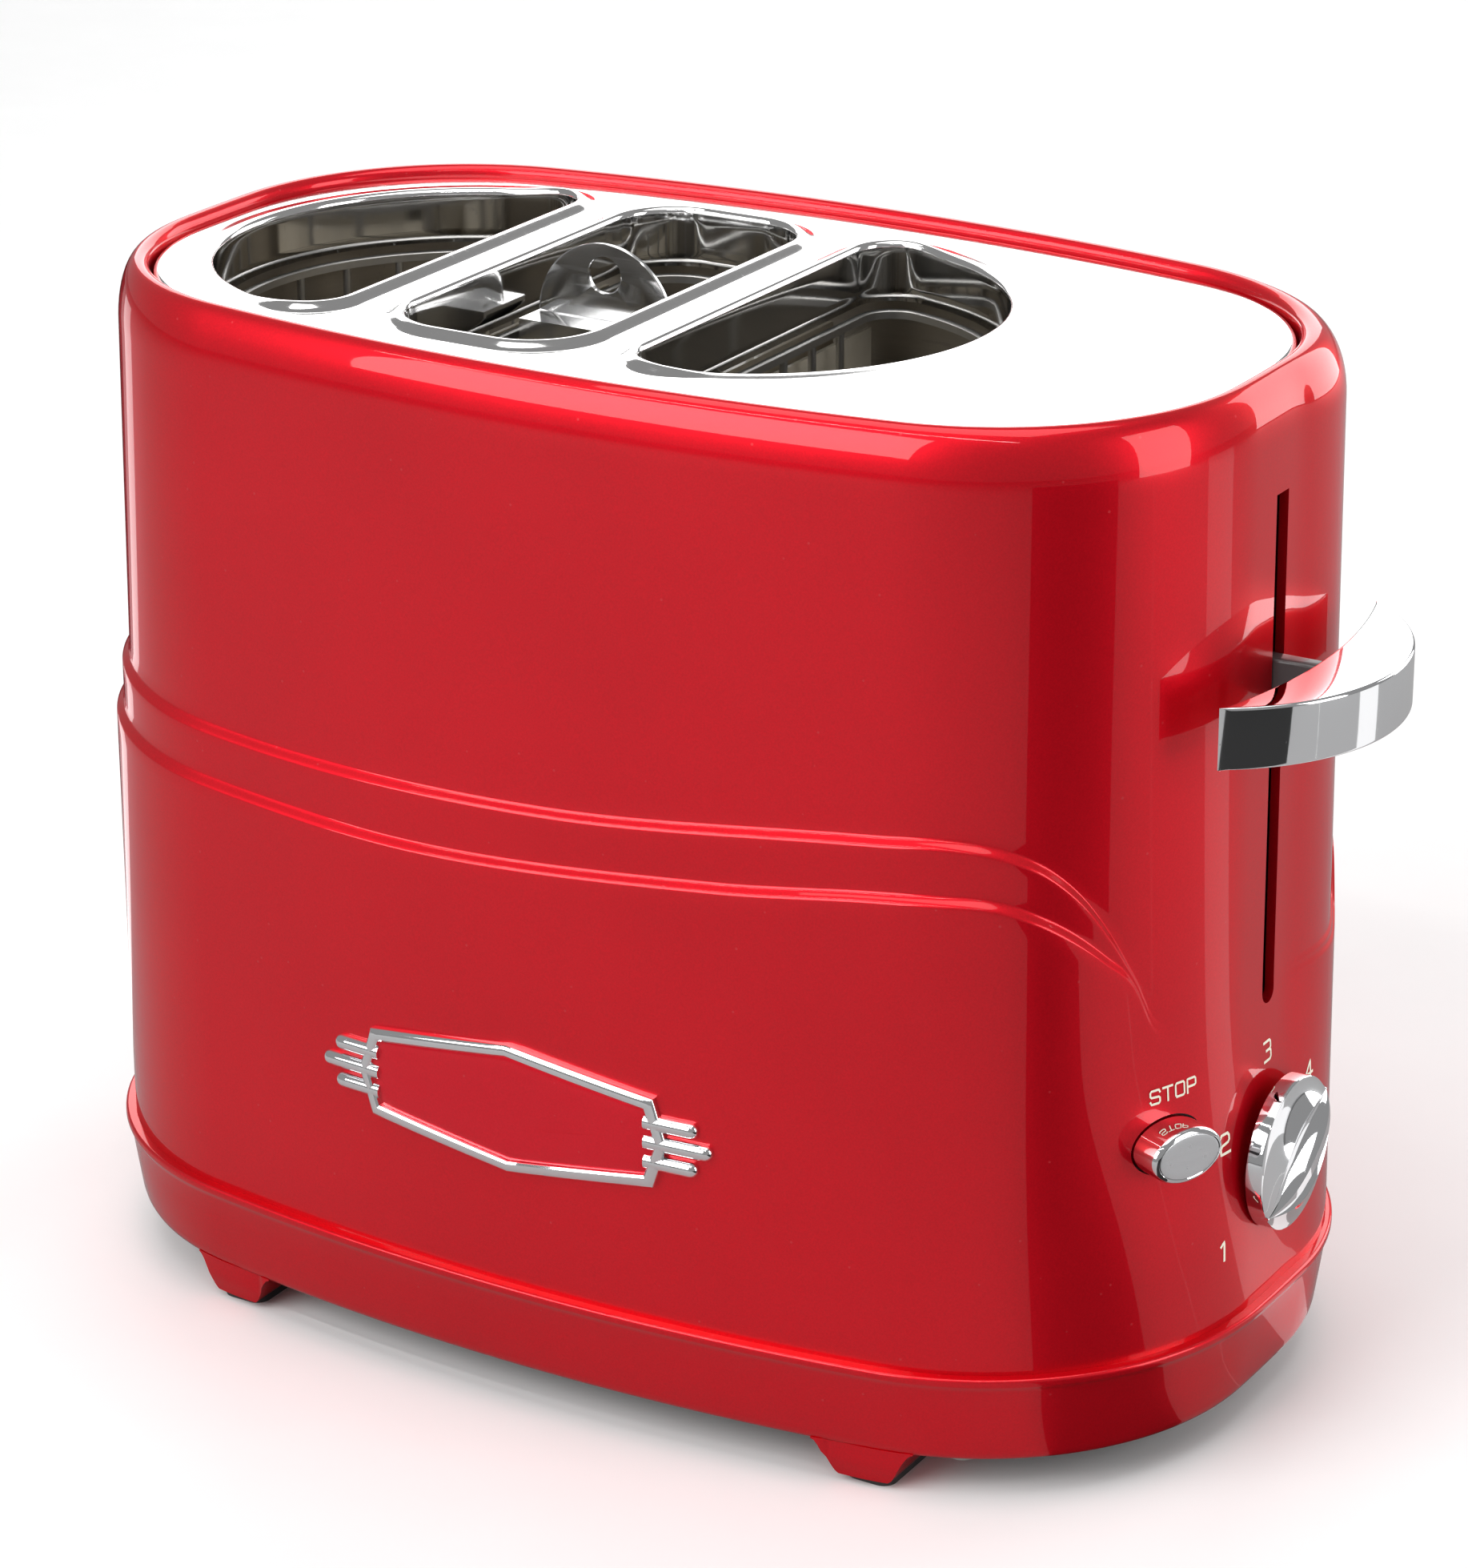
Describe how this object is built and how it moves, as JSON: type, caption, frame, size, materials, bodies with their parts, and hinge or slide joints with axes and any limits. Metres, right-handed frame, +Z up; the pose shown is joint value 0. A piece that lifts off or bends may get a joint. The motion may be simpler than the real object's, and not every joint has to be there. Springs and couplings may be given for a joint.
{
  "type": "pop up toaster",
  "caption": "Oval pop-up toaster for hot dogs and buns: red casing, polished top with three cross slots, lift-out cage, chrome lever, dial and stop button.",
  "frame": {"origin": "middle of the whole toaster's footprint, lever and rear loop included, on the surface it stands on", "axes": "+X towards the lever end, -Y is the front with the badge, +Z up"},
  "size_m": [0.299, 0.168, 0.2328],
  "materials": {
    "red_casing": "candy metallic red, high gloss",
    "mirror_steel": "polished stainless steel",
    "bright_chrome": "bright chrome",
    "red_enamel": "clear-coated red panel",
    "chassis_steel": "plain pressed sheet",
    "heat_tinted_steel": "sheet with a warm heat tint",
    "guard_wire": "bright drawn wire",
    "cage_steel": "polished stainless sheet and wire",
    "ground_rod": "ground rod",
    "screw_zinc": "zinc plated",
    "tray_steel": "pressed aluminium sheet",
    "mica_board": "layered mica card",
    "heater_alloy": "oxidised resistance ribbon",
    "brass_bush": "turned brass",
    "copper_coil": "enamelled copper winding",
    "board_green": "solder mask",
    "black_plastic": "fine moulded texture",
    "lead_sleeve": "silicone sleeve",
    "dark_stem": "dark satin enamel",
    "foot_rubber": "soft black rubber"
  },
  "bodies": {
    "casing": {"badge_frame": "bright_chrome", "badge_panel": "red_enamel", "base_skirt": "red_casing", "board_parts": "black_plastic", "bottom_plate": "chassis_steel", "bottom_screws": "screw_zinc", "bun_guard_left": "guard_wire", "bun_guard_right": "guard_wire", "chassis_floor": "chassis_steel", "chassis_plate": "chassis_steel", "circuit_board": "board_green", "cord_gland": "black_plastic", "dog_guard": "guard_wire", "dog_guard_rings": "guard_wire", "foot_pads": "foot_rubber", "guide_rods": "ground_rod", "heat_shield": "heat_tinted_steel", "heater_cards_left": "mica_board", "heater_cards_right": "mica_board", "heater_ribbon_left": "heater_alloy", "heater_ribbon_right": "heater_alloy", "inner_leads": "lead_sleeve", "magnet_coil": "copper_coil", "magnet_core": "chassis_steel", "outer_shell": "red_casing", "potentiometer": "black_plastic", "return_spring": "screw_zinc", "rod_bracket": "chassis_steel", "stop_switch": "black_plastic", "terminal_block": "black_plastic", "tong_loop": "red_casing", "top_frame": "black_plastic", "top_plate": "mirror_steel", "tray_rails": "chassis_steel"},
    "carriage": {"carriage_plate": "chassis_steel", "carriage_bushes": "brass_bush", "lift_arm": "chassis_steel", "bun_lifter_left": "heat_tinted_steel", "bun_lifter_right": "heat_tinted_steel", "cage_platform": "heat_tinted_steel", "latch_armature": "chassis_steel", "lever_stem": "dark_stem", "lever_handle": "bright_chrome"},
    "cage": {"cage_base": "cage_steel", "cage_divider": "cage_steel", "cage_tab": "cage_steel", "cage_hoops": "cage_steel", "cage_wires": "cage_steel"},
    "tray": {"drip_tray": "tray_steel", "tray_front": "red_casing"},
    "dial": {"knob": "bright_chrome", "knob_shaft": "ground_rod"},
    "button": {"stop_button": "bright_chrome", "stop_button_guide": "black_plastic"}
  },
  "joints": [
    {"name": "carriage_slide", "type": "slide", "parent": "casing", "child": "carriage", "axis": [0, 0, 1], "range_m": [-0.065, 0.03], "stiffness_N_per_m": 60, "springref_m": 0.069, "deforming": ["return_spring"]},
    {"name": "cage_lift", "type": "slide", "parent": "carriage", "child": "cage", "axis": [0, 0, 1], "range_m": [0, 0.14]},
    {"name": "tray_slide", "type": "slide", "parent": "casing", "child": "tray", "axis": [0, 1, 0], "range_m": [0, 0.15]},
    {"name": "dial_turn", "type": "hinge", "parent": "casing", "child": "dial", "pos_m": [0.13, 0, 0.061], "axis": [1, 0, 0], "range_deg": [-75, 183]},
    {"name": "stop_press", "type": "slide", "parent": "casing", "child": "button", "axis": [-0.91, 0.4147, 0], "range_m": [0, 0.003], "stiffness_N_per_m": 400, "springref_m": -0.001}
  ]
}
